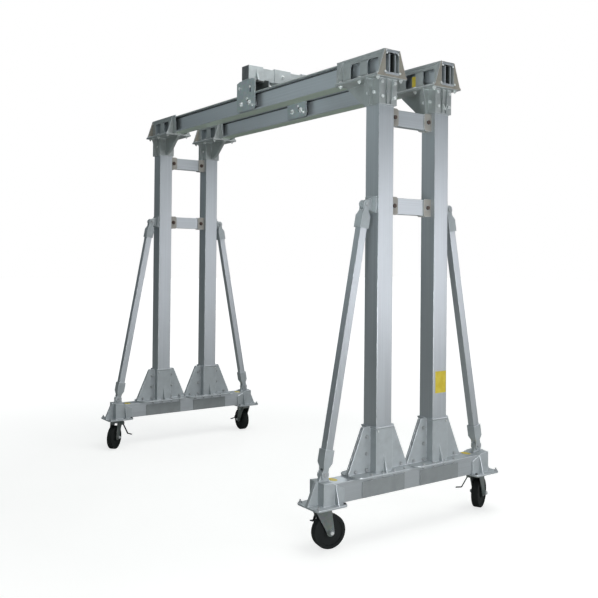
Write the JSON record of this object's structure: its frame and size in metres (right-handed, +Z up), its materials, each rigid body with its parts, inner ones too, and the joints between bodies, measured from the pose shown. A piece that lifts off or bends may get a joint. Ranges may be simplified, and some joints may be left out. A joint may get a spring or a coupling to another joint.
{
  "type": "mobile gantry crane",
  "caption": "Mobile aluminium gantry crane: braced side frames on braked swivel casters carry twin beams with a sliding trolley.",
  "frame": {"origin": "on the ground, midway between the four posts", "axes": "+X along the beams towards the right side frame, +Y across them to the rear, +Z up"},
  "size_m": [3.2556, 1.5702, 3.122],
  "materials": {
    "extruded_aluminium": "mill finish, satin",
    "cast_aluminium": "matt sand casting",
    "hanger_steel": "zinc plated plate",
    "dull_plate": "dull, weathered",
    "zinc_steel": "zinc plated pressing",
    "roller_steel": "turned steel",
    "black_rubber": "solid black rubber",
    "black_steel": "black lacquer"
  },
  "bodies": {
    "crane_frame": {"base_bracket_left_front": "cast_aluminium", "base_bracket_left_rear": "cast_aluminium", "base_bracket_right_front": "cast_aluminium", "base_bracket_right_rear": "cast_aluminium", "brace_ends_left": "cast_aluminium", "brace_ends_right": "cast_aluminium", "brace_left_front": "extruded_aluminium", "brace_left_rear": "extruded_aluminium", "brace_lugs_left": "cast_aluminium", "brace_lugs_right": "cast_aluminium", "brace_right_front": "extruded_aluminium", "brace_right_rear": "extruded_aluminium", "caster_mounts_left": "zinc_steel", "caster_mounts_right": "zinc_steel", "end_bracket_left_front": "cast_aluminium", "end_bracket_left_rear": "cast_aluminium", "end_bracket_right_front": "cast_aluminium", "end_bracket_right_rear": "cast_aluminium", "foot_beam_left": "extruded_aluminium", "foot_beam_right": "extruded_aluminium", "foot_side_plates_left": "dull_plate", "foot_side_plates_right": "dull_plate", "head_bracket_left_front": "cast_aluminium", "head_bracket_left_rear": "cast_aluminium", "head_bracket_right_front": "cast_aluminium", "head_bracket_right_rear": "cast_aluminium", "main_beam_front": "extruded_aluminium", "main_beam_rear": "extruded_aluminium", "post_left_front": "extruded_aluminium", "post_left_rear": "extruded_aluminium", "post_right_front": "extruded_aluminium", "post_right_rear": "extruded_aluminium", "tie_cleats_left": "cast_aluminium", "tie_cleats_right": "cast_aluminium", "tie_left_lower": "extruded_aluminium", "tie_left_upper": "extruded_aluminium", "tie_right_lower": "extruded_aluminium", "tie_right_upper": "extruded_aluminium"},
    "brake_lever_left_front": {"brake_lever_left_front": "black_steel"},
    "brake_lever_left_rear": {"brake_lever_left_rear": "black_steel"},
    "brake_lever_right_front": {"brake_lever_right_front": "black_steel"},
    "brake_lever_right_rear": {"brake_lever_right_rear": "black_steel"},
    "caster_fork_left_front": {"caster_fork_left_front": "zinc_steel"},
    "caster_fork_left_rear": {"caster_fork_left_rear": "zinc_steel"},
    "caster_fork_right_front": {"caster_fork_right_front": "zinc_steel"},
    "caster_fork_right_rear": {"caster_fork_right_rear": "zinc_steel"},
    "caster_wheel_left_front": {"caster_wheel_left_front": "black_rubber"},
    "caster_wheel_left_rear": {"caster_wheel_left_rear": "black_rubber"},
    "caster_wheel_right_front": {"caster_wheel_right_front": "black_rubber"},
    "caster_wheel_right_rear": {"caster_wheel_right_rear": "black_rubber"},
    "trolley": {"trolley_crossbeam": "cast_aluminium", "trolley_hanger_front": "hanger_steel", "trolley_hanger_rear": "hanger_steel"},
    "trolley_rollers_left": {"trolley_rollers_left": "roller_steel"},
    "trolley_rollers_right": {"trolley_rollers_right": "roller_steel"}
  },
  "joints": [
    {"name": "trolley_travel", "type": "slide", "parent": "crane_frame", "child": "trolley", "axis": [1, 0, 0], "range_m": [-1.034, 0.958]},
    {"name": "rollers_left_spin", "type": "hinge", "parent": "trolley", "child": "trolley_rollers_left", "pos_m": [-0.02, 0, 2.8373], "axis": [0, 1, 0], "range_deg": [-1189, 1102]},
    {"name": "rollers_right_spin", "type": "hinge", "parent": "trolley", "child": "trolley_rollers_right", "pos_m": [0.096, 0, 2.8373], "axis": [0, 1, 0], "range_deg": [-1189, 1102]},
    {"name": "swivel_right_front", "type": "hinge", "parent": "crane_frame", "child": "caster_fork_right_front", "pos_m": [1.5, -0.655, 0.23], "axis": [0, 0, 1], "continuous": true},
    {"name": "wheel_spin_right_front", "type": "hinge", "parent": "caster_fork_right_front", "child": "caster_wheel_right_front", "pos_m": [1.50936, -0.61098, 0.1], "axis": [-0.9781, 0.2079, 0], "continuous": true},
    {"name": "brake_right_front", "type": "hinge", "parent": "caster_fork_right_front", "child": "brake_lever_right_front", "pos_m": [1.43935, -0.64211, 0.2107], "axis": [-0.2079, -0.9781, 0], "range_deg": [0, 14]},
    {"name": "swivel_right_rear", "type": "hinge", "parent": "crane_frame", "child": "caster_fork_right_rear", "pos_m": [1.5, 0.655, 0.23], "axis": [0, 0, 1], "continuous": true},
    {"name": "wheel_spin_right_rear", "type": "hinge", "parent": "caster_fork_right_rear", "child": "caster_wheel_right_rear", "pos_m": [1.48098, 0.69578, 0.1], "axis": [-0.9063, -0.4226, 0], "continuous": true},
    {"name": "brake_right_rear", "type": "hinge", "parent": "caster_fork_right_rear", "child": "brake_lever_right_rear", "pos_m": [1.44381, 0.6288, 0.2107], "axis": [0.4226, -0.9063, 0], "range_deg": [0, 14]},
    {"name": "swivel_left_front", "type": "hinge", "parent": "crane_frame", "child": "caster_fork_left_front", "pos_m": [-1.5, -0.655, 0.23], "axis": [0, 0, 1], "continuous": true},
    {"name": "wheel_spin_left_front", "type": "hinge", "parent": "caster_fork_left_front", "child": "caster_wheel_left_front", "pos_m": [-1.46931, -0.68791, 0.1], "axis": [0.7314, 0.682, 0], "continuous": true},
    {"name": "brake_left_front", "type": "hinge", "parent": "caster_fork_left_front", "child": "brake_lever_left_front", "pos_m": [-1.45466, -0.61272, 0.2107], "axis": [-0.682, 0.7314, 0], "range_deg": [0, 14]},
    {"name": "swivel_left_rear", "type": "hinge", "parent": "crane_frame", "child": "caster_fork_left_rear", "pos_m": [-1.5, 0.655, 0.23], "axis": [0, 0, 1], "continuous": true},
    {"name": "wheel_spin_left_rear", "type": "hinge", "parent": "caster_fork_left_rear", "child": "caster_wheel_left_rear", "pos_m": [-1.54497, 0.65657, 0.1], "axis": [-0.0349, -0.9994, 0], "continuous": true},
    {"name": "brake_left_rear", "type": "hinge", "parent": "caster_fork_left_rear", "child": "brake_lever_left_rear", "pos_m": [-1.50216, 0.59304, 0.2107], "axis": [0.9994, -0.0349, 0], "range_deg": [0, 14]}
  ],
  "couplings": [
    {"joint": "rollers_left_spin", "follows": "trolley_travel", "rad_per_m": 20},
    {"joint": "rollers_right_spin", "follows": "trolley_travel", "rad_per_m": 20}
  ]
}
